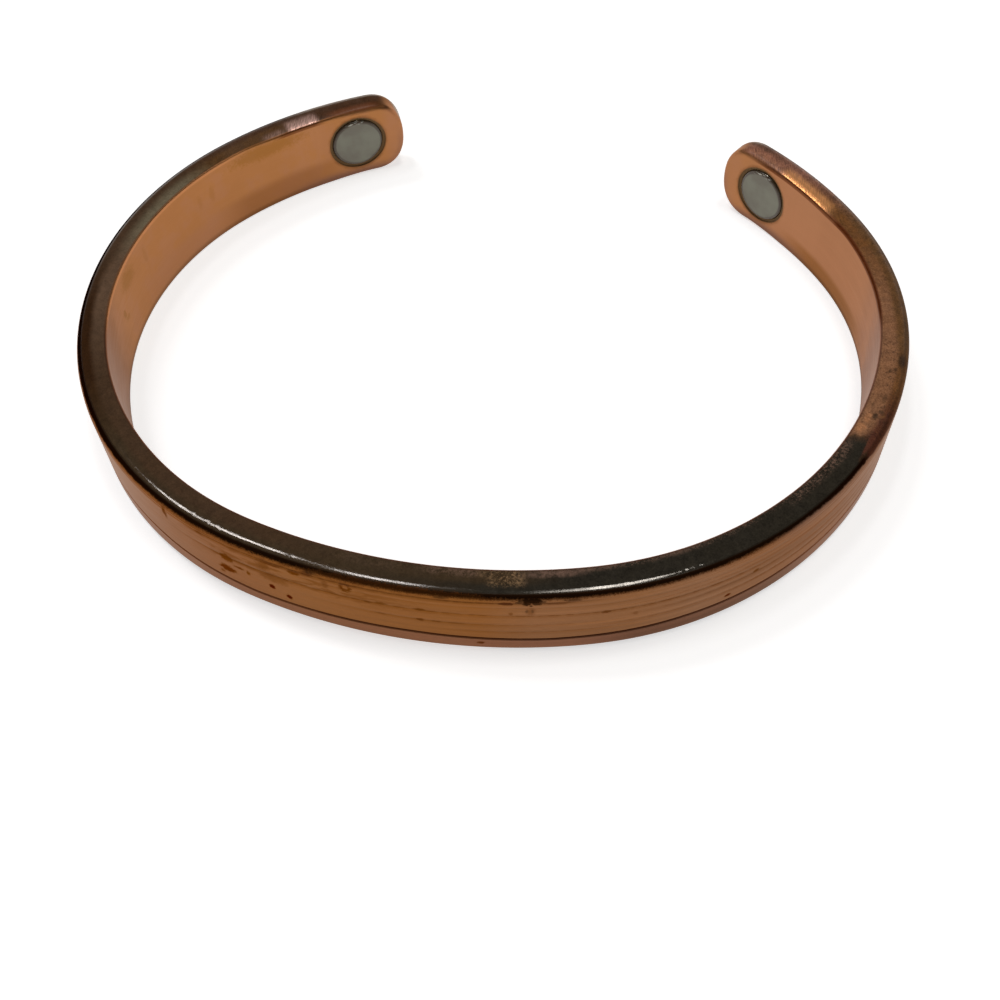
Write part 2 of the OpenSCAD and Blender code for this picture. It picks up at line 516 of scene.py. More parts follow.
def finished_mesh(name, build):
    """Makes the object, with the coordinates of its points as attributes in millimetres."""
    points = np.concatenate(build.points) * MM
    mesh = bpy.data.meshes.new(name)
    mesh.from_pydata(points.tolist(), [], build.faces)
    values = np.concatenate(build.coords).astype(np.float32)
    for k, label in enumerate(COORDS):
        layer = mesh.attributes.new(label, "FLOAT", "POINT")
        layer.data.foreach_set("value", values[:, k].copy())
    shape = bmesh.new()
    shape.from_mesh(mesh)
    bmesh.ops.recalc_face_normals(shape, faces=shape.faces)
    shape.to_mesh(mesh)
    shape.free()
    mesh.shade_smooth()
    mesh.set_sharp_from_angle(angle=SHARP_ANGLE)
    return in_scene(name, mesh)


def make_band():
    build = Builder()
    numbers, s, u, z = band_points(build)
    build.quad_grid(numbers, closed=True)
    for side, ring in ((-1, 0), (1, -1)):
        end_wall(build, numbers[ring], u[ring], z[ring], side)
        pocket(build, numbers, s, side)
    return finished_mesh("cuff_band", build)


def make_magnet(name, side):
    """A plated disc with rounded edges, its back on the pocket's floor."""
    rim = MAGNET_R - MAGNET_EDGE_R
    bends = np.linspace(0, pi / 2, MAGNET_EDGE_POINTS)
    profile = [(radius, 0) for radius in MAGNET_BACK]
    profile += [(rim + MAGNET_EDGE_R * sin(a), MAGNET_EDGE_R * (1 - cos(a))) for a in bends]
    profile += [(MAGNET_R, MAGNET_T / 2)]
    profile += [(rim + MAGNET_EDGE_R * cos(a), MAGNET_T - MAGNET_EDGE_R * (1 - sin(a))) for a in bends]
    profile += [(radius, MAGNET_T) for radius in MAGNET_FACE]
    turn = np.linspace(0, 2 * pi, MAGNET_ROUND, endpoint=False)
    build = Builder()
    loops = []
    for radius, height in profile:
        points = pocket_loop(side, radius, turn, POCKET_DEPTH - height)
        loops.append(build.add(points, radius * np.cos(turn), radius * np.sin(turn), height, radius, 0, 0))
    build.quad_grid(np.stack(loops), closed=True)
    build.faces += [loops[0].tolist(), loops[-1].tolist()]
    return finished_mesh(name, build)


# Materials

class Net:
    """A node tree that is being built."""

    def __init__(self, tree):
        self.tree = tree

    def put(self, value, socket):
        """Links a socket to another, or sets its value."""
        if isinstance(value, bpy.types.NodeSocket):
            self.tree.links.new(value, socket)
        elif value is not None:
            socket.default_value = value

    def fill(self, node, inputs):
        """Links or sets the inputs of a node by their names."""
        for name, value in inputs.items():
            self.put(value, node.inputs[name])
        return node

    def node(self, kind, inputs=None, **settings):
        made = self.tree.nodes.new(kind)
        for name, value in settings.items():
            setattr(made, name, value)
        return self.fill(made, inputs or {})

    def math(self, operation, a, b=None, clamp=False):
        made = self.node("ShaderNodeMath", operation=operation, use_clamp=clamp)
        for socket, value in zip(made.inputs, (a, b)):
            self.put(value, socket)
        return made.outputs[0]

    def chain(self, operation, values):
        """The values put together one after another."""
        total = values[0]
        for value in values[1:]:
            total = self.math(operation, total, value)
        return total

    def add(self, *values):
        return self.chain("ADD", values)

    def times(self, *values):
        return self.chain("MULTIPLY", values)

    def minus(self, a, b):
        return self.math("SUBTRACT", a, b)

    def most(self, *values):
        return self.chain("MAXIMUM", values)

    def inverse(self, a):
        return self.math("SUBTRACT", 1.0, a, clamp=True)

    def length(self, x, y):
        return self.math("SQRT", self.add(self.times(x, x), self.times(y, y)))

    def centred(self, noise, width):
        """A noise, moved to run about zero with a full width."""
        return self.times(self.minus(noise, 0.5), width)

    def step(self, value, low, high, to_low=0.0, to_high=1.0):
        """A soft step from to_low to to_high as value goes from low to high."""
        inputs = {"Value": value, "From Min": low, "From Max": high, "To Min": to_low, "To Max": to_high}
        return self.node("ShaderNodeMapRange", inputs, interpolation_type="SMOOTHSTEP").outputs["Result"]

    def stretch(self, value, start, end, soft):
        """A mask that is 1 between start and end."""
        rise = self.step(value, start - soft, start + soft)
        fall = self.step(value, end - soft, end + soft, 1.0, 0.0)
        return self.times(rise, fall)

    def stripe(self, value, at, half):
        """A mask that is 1 at one value and falls softly to 0 on both sides of it."""
        return self.step(self.math("ABSOLUTE", self.minus(value, at)), 0.0, half, 1.0, 0.0)

    def vector(self, x, y, z):
        return self.node("ShaderNodeCombineXYZ", {"X": x, "Y": y, "Z": z}).outputs[0]

    def noise(self, where, scale, detail=3.0, roughness=0.55, distortion=0.0):
        return self.node("ShaderNodeTexNoise", {
            "Vector": where,
            "Scale": scale,
            "Detail": detail,
            "Roughness": roughness,
            "Distortion": distortion,
        }).outputs["Fac"]

    def mix(self, kind, share, a, b):
        made = self.node("ShaderNodeMix", data_type="RGBA" if kind == "Color" else "FLOAT", clamp_factor=True)
        for name, value in (("Factor_Float", share), ("A_" + kind, a), ("B_" + kind, b)):
            self.put(value, next(i for i in made.inputs if i.identifier == name))
        return next(o for o in made.outputs if o.identifier == "Result_" + kind)

    def blend(self, share, a, b):
        return self.mix("Color", share, a, b)

    def lay(self, name, colour, *masks):
        """A named colour laid over another, as far as the product of the masks."""
        return self.blend(self.times(*masks), colour, PALETTE[name])

    def lerp(self, share, a, b):
        return self.mix("Float", share, a, b)

    def scale(self, vector, factor):
        inputs = {"Vector": vector, "Scale": factor}
        return self.node("ShaderNodeVectorMath", inputs, operation="SCALE").outputs[0]

    def shade(self, colour, amount):
        """A colour made brighter by a share of itself, or darker where the amount is negative."""
        return self.scale(colour, self.add(amount, 1.0))

    def bump(self, height, strength, distance):
        """The normal of a relief, which is a distance in metres deep."""
        inputs = {"Height": height, "Strength": strength, "Distance": distance}
        return self.node("ShaderNodeBump", inputs).outputs["Normal"]

    def attribute(self, name):
        return self.node("ShaderNodeAttribute", attribute_name=name, attribute_type="GEOMETRY").outputs["Fac"]

    def tones(self, along, stretches):
        """Named colours that pass into each other along the band, from the start and end of each."""
        stops = sorted({(at, name) for start, end, name in stretches for at in (start, end)})
        start, end = stops[0][0], stops[-1][0]
        place_in_ramp = self.node("ShaderNodeMapRange", {"Value": along, "From Min": start, "From Max": end})
        ramp = self.node("ShaderNodeValToRGB", {"Fac": place_in_ramp.outputs["Result"]})
        elements = ramp.color_ramp.elements
        while len(elements) < len(stops):
            elements.new(0.5)
        for element, (at, name) in zip(elements, stops):
            element.position = (at - start) / (end - start)
            element.color = PALETTE[name]
        return ramp.outputs["Color"]


def grain_group():
    """Fine grain: lines drawn out where the vector is squeezed, with larger clouds in them."""
    tree = bpy.data.node_groups.new("grain", "ShaderNodeTree")
    for label, way, kind in (("Where", "INPUT", "Vector"), ("Fineness", "INPUT", "Float"),
                             ("Lines", "OUTPUT", "Float"), ("Clouds", "OUTPUT", "Float")):
        tree.interface.new_socket(label, in_out=way, socket_type="NodeSocket" + kind)
    net = Net(tree)
    ins = net.node("NodeGroupInput").outputs
    net.node("NodeGroupOutput", {
        "Lines": net.noise(ins["Where"], ins["Fineness"], 4.0, 0.6),
        "Clouds": net.noise(ins["Where"], net.times(ins["Fineness"], 0.12), 2.0, 0.5),
    })
    return tree


def use_group(net, tree, inputs):
    return net.node("ShaderNodeGroup", inputs, node_tree=tree).outputs


def light(value):
    """The linear light of a screen value from 0 to 255."""
    share = value / 255
    return share / 12.92 if share <= 0.04 else ((share + 0.055) / 1.055) ** 2.4


def linear(red, green, blue):
    return light(red), light(green), light(blue), 1.0


PALETTE = {name: linear(*screen) for name, screen in {
    # the copper of the outer and the inner faces
    "copper": (136, 92, 58),
    "golden copper": (135, 85, 40),
    "rosy copper": (131, 80, 39),
    "grey copper": (135, 95, 66),
    "inner copper": (168, 113, 68),
    "shaded copper": (138, 88, 52),
    "dim copper": (126, 82, 58),
    "pale copper": (134, 92, 75),
    "lit copper": (198, 134, 88),
    "low strip copper": (133, 89, 67),
    "rosy inner copper": (166, 114, 80),
    "line brown": (90, 48, 18),
    "groove shade brown": (74, 26, 14),
    "rim highlight grey": (182, 166, 150),
    "low rim highlight grey": (150, 120, 104),
    "foot shade brown": (118, 84, 72),
    "stain brown": (84, 46, 22),
    "dirt brown": (104, 64, 34),
    "yellow stain": (146, 96, 40),
    "edge brown": (92, 44, 18),
    # the tarnish of the upper edge
    "end umber": (62, 38, 20),
    "reddish umber": (77, 51, 24),
    "umber": (65, 47, 32),
    "warm umber": (86, 66, 50),
    "olive umber": (58, 45, 30),
    "deep umber": (46, 25, 6),
    "grey umber": (99, 89, 70),
    "black": (38, 34, 27),
    "deep shade black": (30, 14, 4),
    "worn brown": (121, 83, 56),
    "olive brown": (88, 59, 30),
    "orange brown": (98, 62, 29),
    "reddish brown": (74, 38, 24),
    "fiery brown": (120, 62, 26),
    "dusty brown": (98, 76, 64),
    "dusty and shaded copper": (130, 100, 84),
    "pinkish brown": (120, 80, 63),
    "dark fleck": (52, 34, 18),
    "glimpsed copper": (164, 130, 94),
    "painted glint copper": (255, 178, 112),
    "rubbed nickel glint": (172, 170, 158),
    "packed dirt": (66, 50, 32),
    "pink glint": (255, 208, 194),
    "grime": (112, 86, 56),
    "nickel": (120, 119, 106),
    "dull nickel": (110, 106, 95),
}.items()}

# How much the colours are raised for the light that falls on each
COPPER_GAIN = 0.95
TARNISH_GAIN = 1.6
# Colours at flat angles of the copper, of the gloss on the tarnish, of the dark shoulder, of dark marks and
# of the broad groove
COPPER_EDGE = linear(240, 224, 212)
TARNISH_GLOSS = linear(255, 249, 242)
SHOULDER_EDGE = linear(80, 56, 40)
MARK_EDGE = linear(184, 152, 130)
GROOVE_EDGE = linear(104, 46, 32)

# Stretches of the band where something shows, in millimetres from the front: start, end and softness
STRETCHES = {
    # on the outer face
    "shaded low strip": (14.0, 30.0, 3.0),
    "veins": (-18.0, -1.0, 4.0),
    "shaded upper rows": (28.0, 50.0, 3.0),
    "shaded groove": (-26.0, 32.0, 3.0),
    # on the inner face
    "faint blotches": (-41.0, 51.0, 2.5),
    "left low strip": (-74.0, -62.0, 3.0),
    "rosy low strip": (-62.0, -50.0, 3.0),
    "right low strip": (57.0, 70.0, 3.0),
    "lit inner line": (-64.0, -40.0, 2.0),
    "right edge line": (52.0, 66.0, 1.5),
    "right tip line": (64.0, 76.0, 1.5),
    "left tip line": (-73.5, -69.0, 0.8),
    # in the tarnish of the upper edge
    "black": (9.0, 38.6, 1.0),
    "end of the black": (33.5, 41.0, 1.0),
    "broad outer tones": (-62.0, -46.0, 2.0),
    "spread outer tones": (39.5, 50.0, 1.5),
    "worn patch": (5.7, 8.3, 0.4),
    "before the patch": (1.0, 5.5, 0.8),
    "faint worn patch": (-6.0, 1.0, 1.0),
    "far worn patch": (30.0, 37.6, 1.0),
    "worn inner rim": (8.5, 38.0, 1.0),
    "golden glimpses": (5.0, 8.4, 0.5),
    "dusty top": (8.2, 12.5, 1.0),
    "olive flecks": (39.0, 56.0, 2.0),
    "dark flecks": (39.5, 50.0, 1.5),
    "red tip": (-79.3, -74.5, 1.0),
    "brown edge": (52.0, 66.0, 2.0),
    # where the sanding marks of the ends shine
    "left glint": (-73.2, -70.2, 0.4),
    "faint left glint": (-69.6, -67.6, 0.5),
    "right glint": (66.8, 73.0, 0.8),
    "faint right glint": (71.5, 77.0, 1.0),
    "bare right edge": (67.0, 73.0, 0.7),
    # where the lower limit of the tarnish is higher, or more ragged
    "front lift": (-7.0, 5.5, 2.0),
    "right lift": (24.0, 33.0, 2.0),
    "ragged front": (-15.0, 9.5, 3.0),
}

# Tones of the upper edge beside its inner and beside its outer edge, and of the outer and the inner faces:
# the start and end of each tone along the band
# The grey and warm umbers beside the inner edge of the left limb are a painted sheen.
TOP_INNER = (
    (-80, -74, "end umber"), (-67, -62, "reddish umber"), (-58, -52, "grey umber"), (-47, -42, "warm umber"),
    (-34, -12, "umber"), (-4, 7, "olive umber"), (11, 38.6, "black"), (39.2, 54, "worn brown"),
    (62, 67, "orange brown"), (72, 80, "pinkish brown"),
)
TOP_OUTER = (
    (-80, -64, "end umber"), (-58, -48, "umber"), (-41, -34, "deep umber"), (-26, -4, "olive umber"),
    (6, 38.6, "black"), (39.4, 41.5, "reddish brown"), (45, 45, "orange brown"), (49, 64, "olive brown"),
    (72, 72, "pinkish brown"), (80, 80, "umber"),
)
OUTER_TONES = (
    (-40, -14, "rosy copper"), (-9, 5, "golden copper"), (9, 16, "copper"), (21, 21, "grey copper"),
    (32, 60, "rosy copper"),
)
INNER_TONES = (
    (-80, -44, "inner copper"), (-40, -40, "shaded copper"), (-37, -37, "dim copper"),
    (44, 51, "pale copper"), (58, 72, "rosy inner copper"), (80, 80, "inner copper"),
)

# Dark marks on the outer face: distance along, height, half length, half width, softness, strength
OUTER_MARKS = (
    (-19.4, 6.4, 0.22, 0.6, 0.4, 0.6),
    (-16.0, 6.75, 0.35, 0.18, 0.5, 0.4),
    (-14.0, 5.0, 0.55, 0.5, 0.25, 0.55),
    (-14.2, 3.4, 0.65, 0.45, 0.25, 0.65),
    (-13.1, 4.25, 0.45, 0.14, 0.4, 0.6),
    (-12.3, 4.05, 0.16, 0.3, 0.4, 0.5),
    (-14.8, 2.7, 0.2, 0.16, 0.4, 0.5),
    (-10.0, 4.8, 1.3, 0.6, 0.4, 0.3),
    (-10.7, 6.2, 0.5, 0.8, 0.5, 0.35),
    (-10.45, 3.45, 0.22, 0.3, 0.3, 1.0),
    (-9.15, 2.72, 0.22, 0.26, 0.3, 0.9),
    (-10.1, 6.65, 0.9, 0.16, 0.5, 0.6),
    (-8.2, 6.6, 0.55, 0.28, 0.5, 0.6),
    (-7.2, 6.9, 0.45, 0.2, 0.4, 0.6),
    (-5.9, 6.2, 0.25, 0.5, 0.5, 0.3),
    (-4.4, 6.45, 0.45, 0.55, 0.3, 0.6),
    (-2.9, 5.15, 0.25, 0.16, 0.4, 0.5),
    (-1.9, 5.3, 0.4, 0.16, 0.5, 0.4),
    (-2.0, 3.85, 0.4, 0.12, 0.5, 0.3),
    (0.9, 5.25, 0.4, 0.16, 0.4, 0.5),
    (0.85, 3.85, 0.3, 0.16, 0.4, 0.6),
    (2.0, 3.85, 0.35, 0.12, 0.4, 0.4),
    (3.4, 3.85, 0.6, 0.1, 0.4, 0.3),
    (7.0, 6.85, 0.5, 0.16, 0.3, 1.0),
    (7.3, 5.5, 0.14, 0.2, 0.4, 0.4),
    (8.7, 5.8, 0.3, 0.5, 0.6, 0.3),
    (10.5, 6.8, 0.9, 0.12, 0.5, 0.5),
    (14.0, 5.1, 0.3, 0.18, 0.4, 0.6),
    (16.1, 4.3, 0.2, 0.2, 0.5, 0.3),
    (23.3, 2.75, 0.24, 0.16, 0.4, 0.8),
    (25.5, 4.5, 0.24, 0.2, 0.4, 0.5),
    (5.1, 1.25, 0.3, 0.16, 0.3, 0.7),
)
# The lighter middle of the squarish mark
LIGHT_MARKS = ((-4.35, 6.5, 0.2, 0.26, 0.4, 0.5),)
# Black smudges that come down from the tarnish
BLACK_MARKS = (
    (8.8, 7.08, 0.85, 0.22, 0.4, 1.0),
    (8.4, 6.78, 0.3, 0.2, 0.4, 0.9),
    (9.15, 6.82, 0.35, 0.16, 0.4, 0.8),
    (8.7, 6.58, 0.12, 0.1, 0.5, 0.8),
    (7.9, 6.95, 0.3, 0.12, 0.5, 0.7),
    (8.4, 5.85, 0.08, 0.22, 0.5, 0.35),
    (8.8, 5.8, 0.08, 0.24, 0.5, 0.35),
    (-6.9, 7.1, 0.4, 0.12, 0.5, 0.6),
    (11.6, 7.05, 0.6, 0.1, 0.5, 0.6),
    (2.5, 7.1, 0.5, 0.1, 0.5, 0.5),
)
# Brown stains on the inner face near the left end
INNER_MARKS = (
    (-67.5, 6.5, 3.8, 0.8, 0.45, 0.62),
    (-69.5, 6.6, 0.8, 0.4, 0.5, 0.6),
    (-65.0, 6.5, 1.2, 0.35, 0.5, 0.6),
    (-60.6, 5.0, 0.3, 0.7, 0.6, 0.3),
    (-59.0, 5.0, 0.25, 0.6, 0.6, 0.25),
    (-50.3, 5.5, 0.3, 0.8, 0.6, 0.3),
    (-46.5, 6.0, 1.3, 0.8, 0.5, 0.7),
    (-44.0, 4.1, 0.28, 0.45, 0.5, 0.9),
    (-44.4, 3.4, 0.5, 0.25, 0.5, 0.7),
)
# Dark and light spots on the upper edge, with the distance out from the middle line for the height
TOP_MARKS = (
    (41.3, -0.1, 0.32, 0.2, 0.5, 0.8),
    (41.9, 0.2, 0.2, 0.2, 0.5, 0.7),
    (43.4, 0.05, 0.5, 0.16, 0.5, 0.5),
    (46.4, -0.15, 0.18, 0.14, 0.4, 0.7),
    (46.7, 0.25, 0.2, 0.14, 0.4, 0.7),
    (47.8, 0.62, 0.7, 0.28, 0.5, 0.9),
    (37.2, 0.75, 0.6, 0.14, 0.5, 0.8),
)
TOP_LIGHTS = ((39.7, -0.75, 0.45, 0.4, 0.5, 0.36), (40.9, -0.55, 0.5, 0.25, 0.5, 0.3))


def marks(net, along, level, ragged, wanted):
    """The most that any of the wanted marks covers, each a blot with a ragged edge and its own strength."""
    covers = []
    for at, height, length, width, soft, strength in wanted:
        x = net.times(net.minus(along, at), 1 / length)
        y = net.times(net.minus(level, height), 1 / width)
        covers.append(net.step(net.add(net.length(x, y), ragged), 1 - soft, 1 + soft, strength, 0.0))
    return net.most(*covers)


def new_material(name):
    material = bpy.data.materials.new(name)
    material.use_nodes = True
    net = Net(material.node_tree)
    shader = next(n for n in net.tree.nodes if n.type == "BSDF_PRINCIPLED")
    return material, net, shader


class BandLook:
    """The material of the band, painted over its distances along, up and across, in millimetres."""

    def __init__(self, grain):
        self.material, self.net, self.shader = new_material("aged_copper")
        self.grain = grain
        net = self.net
        self.s, self.z, self.u, self.row, self.in_pocket, self.edge = (net.attribute(name) for name in COORDS)
        where = net.vector(self.s, self.z, self.u)
        self.clouds = net.noise(where, 0.35, 3.0, 0.55)
        self.mottle = net.noise(where, 1.6, 4.0, 0.6)
        self.fine = net.noise(where, 5.0, 3.0, 0.6)
        self.speckle = net.noise(where, 9.0, 3.0, 0.7)
        self.ragged = net.add(net.centred(self.fine, 1.5), net.centred(self.mottle, 0.8))
        self.on_outer = net.step(self.u, 0.85, 1.0)
        drawn_out = net.vector(net.times(self.s, 0.05), self.z, self.u)
        self.streaks = use_group(net, grain, {"Where": drawn_out, "Fineness": 6.0})

    def over(self, name):
        """A mask of a named stretch of the band."""
        return self.net.stretch(self.s, *STRETCHES[name])

    def near_tip(self, start, full):
        """A mask that rises from one distance from the tips to another."""
        net = self.net
        return net.most(net.step(self.s, LEFT_END + start, LEFT_END + full),
                        net.step(self.s, RIGHT_END - start, RIGHT_END - full))

    def outer_ground(self):
        """The copper of the outer face under its lines and marks."""
        net, s, z = self.net, self.s, self.z
        colour = net.tones(s, OUTER_TONES)
        low_strip = net.times(net.step(self.row, 1.8, 1.5), net.step(s, -4.0, 16.0, 0.7, 1.0))
        colour = net.lay("low strip copper", colour, low_strip)
        colour = net.shade(colour, net.times(low_strip, self.over("shaded low strip"), -0.35))
        soft = net.noise(net.vector(net.times(s, 0.035), z, 0.0), 1.5, 2.0, 0.5)
        colour = net.shade(colour, net.times(net.centred(soft, 0.9), net.step(s, -12.0, 22.0, 0.25, 1.0)))
        uneven = net.add(net.centred(self.streaks["Lines"], 0.3), net.centred(self.mottle, 0.2))
        return net.shade(colour, uneven)

    def drawn_lines(self):
        """A mask of the drawn lines, each a crisp line in a soft band of painted shade that reaches a little
        lower, worn in places.
        """
        net = self.net
        wander = net.noise(net.vector(net.times(self.s, 0.09), net.times(self.row, 0.4), 0.0), 1.0, 2.0, 0.5)
        row = net.add(self.row, net.centred(wander, 0.35))
        lines = []
        for at, width, depth, start, end in DRAWN_LINES:
            share = net.times(net.stretch(self.s, start, end, LINE_FADE), min(0.8, depth * 36))
            crisp = net.stripe(row, at, width * 0.7)
            shade_below = net.times(net.stripe(row, at - 0.06, width * 2.2), 0.45)
            lines.append(net.times(net.most(crisp, shade_below), share))
        return net.times(net.most(*lines), net.step(self.mottle, 0.35, 0.6, 0.35, 1.0))

    def outer_copper(self):
        """The colour of the outer face, and masks of its dark marks and of the painted shade in the broad
        groove.
        """
        net, s, z = self.net, self.s, self.z
        lines = self.drawn_lines()
        colour = net.lay("line brown", self.outer_ground(), lines)
        veins = net.noise(net.vector(net.times(s, 0.4), net.times(z, 1.7), 0.0), 1.3, 4.0, 0.65, 0.9)
        veins = net.times(self.over("veins"), net.step(z, 3.8, 5.2), net.step(veins, 0.46, 0.58), 0.35)
        colour = net.lay("line brown", colour, veins)
        spotted = net.add(z, net.centred(self.mottle, 0.3), net.centred(self.speckle, 0.9))
        colour = net.lay("line brown", colour, net.step(spotted, 7.04, 7.27), 0.85)
        # The upper rows on the right are painted a duller greyish copper: painted shade between the tarnish
        # and the outer face.
        colour = net.lay("dusty and shaded copper", colour, net.step(z, 6.4, 6.9), self.over("shaded upper rows"), 0.6)
        # The broad groove is painted dark brown in front, as painted shade in the groove.
        groove = net.times(net.stripe(self.row, BROAD_GROOVE[0], 0.19), self.over("shaded groove"))
        groove = net.step(groove, 0.1, 0.8)
        colour = net.lay("groove shade brown", colour, groove)
        dark = net.minus(*(marks(net, s, z, self.ragged, wanted) for wanted in (OUTER_MARKS, LIGHT_MARKS)))
        dark = net.math("MULTIPLY", dark, 1.2, clamp=True)
        return net.lay("stain brown", colour, dark), net.most(dark, veins, lines), groove

    def pocket_halo(self):
        """Dirt on the inner face round both pockets."""
        net = self.net
        halos = []
        for centre in (LEFT_END + MAGNET_IN, RIGHT_END - MAGNET_IN):
            far = net.length(net.minus(self.s, centre), net.minus(self.z, BAND_H / 2))
            far = net.add(far, net.centred(self.mottle, 0.5))
            halos.append(net.step(far, POCKET_R + 0.05, POCKET_R + 0.5, 1.0, 0.0))
        return net.most(*halos)

    def inner_copper(self):
        """The colour of the inner face."""
        net, s, z = self.net, self.s, self.z
        uneven = net.add(net.centred(self.streaks["Clouds"], 0.1), net.centred(self.clouds, 0.1))
        colour = net.shade(net.tones(s, INNER_TONES), uneven)
        # The blotches are faint in front, where the inner face is darker
        rosy = net.times(net.step(self.clouds, 0.45, 0.62), net.lerp(self.over("faint blotches"), 0.5, 0.12))
        colour = net.lay("rosy inner copper", colour, rosy)
        lower = net.step(z, 3.2, 2.0)
        colour = net.lay("shaded copper", colour, lower, self.over("left low strip"), 0.6)
        colour = net.lay("rosy inner copper", colour, lower, self.over("rosy low strip"), 0.6)
        colour = net.lay("golden copper", colour, net.step(z, 2.2, 1.4), self.over("right low strip"), 0.8)
        # Painted shade: the inner face darkens along its foot, where it meets the table, and turns a dull
        # violet brown on the low rim and round the lower outline near the tips.
        colour = net.shade(colour, net.times(net.step(z, 0.75, 0.2), -0.4))
        beside_edge = net.times(net.step(self.edge, 0.9, 0.3), net.step(z, 5.0, 3.0))
        shaded_low_rim = net.most(net.step(z, 1.3, 0.3), beside_edge)
        colour = net.lay("foot shade brown", colour, shaded_low_rim, self.near_tip(14.0, 7.0), 0.7)
        colour = net.lay("rosy inner copper", colour, self.near_tip(2.4, 1.2), 0.6)
        colour = net.lay("yellow stain", colour, marks(net, s, z, self.ragged, INNER_MARKS))
        colour = net.lay("dirt brown", colour, self.pocket_halo(), 0.55)
        top_line = net.step(z, 7.1, 7.25)
        colour = net.lay("lit copper", colour, top_line, net.times(self.over("lit inner line"), 0.6))
        dark_line = net.most(self.over("right edge line"), net.times(self.over("right tip line"), 0.75),
                             net.times(self.over("left tip line"), 0.7))
        return net.lay("edge brown", colour, top_line, dark_line)

    def tarnish_tones(self):
        """The tones of the upper edge, and masks of where it is black and where it is worn brown."""
        net, s, u = self.net, self.s, self.u
        # The black ends sooner beside both edges, most of all beside the outer one
        early = net.add(net.times(net.step(u, 0.25, 0.6), 1.8), net.times(net.step(u, -0.3, -1.2), 0.5))
        wavy = net.add(s, net.centred(self.mottle, 1.4), net.times(early, self.over("end of the black")))
        broad = net.lerp(self.over("broad outer tones"), -0.35, -0.9)
        spread = net.times(self.over("spread outer tones"), -0.3)
        outer_side = net.step(net.add(u, net.centred(self.clouds, 0.5), spread), broad, 0.3)
        colour = net.blend(outer_side, net.tones(wavy, TOP_INNER), net.tones(wavy, TOP_OUTER))
        return colour, net.stretch(wavy, *STRETCHES["black"]), net.step(wavy, 38.7, 39.3)

    def worn_patches(self):
        """Where copper shows through the tarnish of the upper edge, as specks between dark blotches."""
        net, u = self.net, self.u
        blotches = net.noise(net.vector(net.times(self.s, 1.1), 0.0, net.times(u, 1.2)), 3.8, 5.0, 0.85, 0.3)
        patch = net.times(self.over("worn patch"), net.step(u, 0.5, -0.2))
        before = net.times(self.over("before the patch"), net.step(u, -0.3, -0.8))
        rim = net.times(self.over("worn inner rim"), net.step(u, -0.6, -1.05))
        far = net.times(self.over("far worn patch"), net.step(u, 0.0, -0.8))
        faint = net.times(self.over("faint worn patch"), net.step(u, 0.0, -0.6))
        shares = net.most(net.times(patch, 0.48), net.times(net.most(before, rim), 0.42), net.times(far, 0.6),
                          net.times(faint, 0.1))
        bare = net.step(net.add(blotches, net.centred(self.clouds, 0.4)), 0.45, 0.57)
        return net.times(bare, shares)

    def weathered(self, colour):
        """A colour of the upper edge with its dust, worn patches, flecks and marks."""
        net, s, u = self.net, self.s, self.u
        dusty = net.times(self.over("dusty top"), net.stretch(u, -1.0, -0.5, 0.15))
        colour = net.lay("dusty brown", colour, dusty, net.step(self.mottle, 0.35, 0.6, 0.2, 0.7))
        glimpse = net.lay("glimpsed copper", PALETTE["dusty and shaded copper"], self.over("golden glimpses"))
        colour = net.blend(net.times(self.worn_patches(), 0.85), colour, glimpse)
        flecks = net.step(self.mottle, 0.55, 0.68)
        flecks = net.times(flecks, self.over("olive flecks"), net.step(u, -0.6, 0.2))
        colour = net.lay("olive brown", colour, flecks, 0.6)
        colour = net.lay("dark fleck", colour, net.step(self.fine, 0.56, 0.66), self.over("dark flecks"), 0.6)
        for wanted, name in ((TOP_LIGHTS, "lit copper"), (TOP_MARKS, "dark fleck")):
            colour = net.lay(name, colour, marks(net, s, u, net.centred(self.fine, 0.8), wanted))
        return colour

    def sanding(self):
        """Fine sanding marks that run nearly straight back, across both ends."""
        net = self.net
        spot = net.node("ShaderNodeTexCoord").outputs["Object"]
        x, y, _ = net.node("ShaderNodeSeparateXYZ", {"Vector": net.scale(spot, 1 / MM)}).outputs
        slant = net.times(y, net.step(self.s, -10.0, 10.0, 0.12, 0.03))
        across = net.vector(net.add(x, slant), net.times(y, 0.08), 0.0)
        return use_group(net, self.grain, {"Where": across, "Fineness": 15.0})["Lines"]

    def upper_edge(self):
        """The colour of the upper edge, masks of its black, worn, shaded shoulder and bare parts, and
        sanding.
        """
        net, s, u = self.net, self.s, self.u
        colour, black, worn = self.tarnish_tones()
        colour = self.weathered(colour)
        uneven = net.add(net.centred(self.mottle, 0.9), net.centred(self.speckle, 1.1))
        colour = net.shade(colour, net.times(uneven, net.lerp(net.most(black, worn), 1.0, 1.6)))
        # The outer shoulder of the upper bead is painted nearly black over the tarnish: painted shade for the
        # dark band below its highlight, weaker where the tarnish is worn.
        shaded_shoulder = net.times(net.step(u, 0.66, 0.86), net.lerp(worn, 1.0, 0.4))
        colour = net.lay("deep shade black", colour, shaded_shoulder, 0.95)

        sanding = self.sanding()
        lines = net.step(sanding, 0.42, 0.6)
        ends = net.most(net.times(net.step(s, -56.0, -70.0), 0.6), net.step(s, 64.0, 67.0))
        colour = net.shade(colour, net.times(net.centred(lines, 0.45), ends))
        colour = net.lay("fiery brown", colour, self.over("red tip"), net.step(u, -0.2, -0.9), 0.45)
        colour = net.lay("edge brown", colour, self.over("brown edge"), net.step(u, -0.9, -1.08), 0.85)
        colour = net.shade(colour, TARNISH_GAIN - 1)

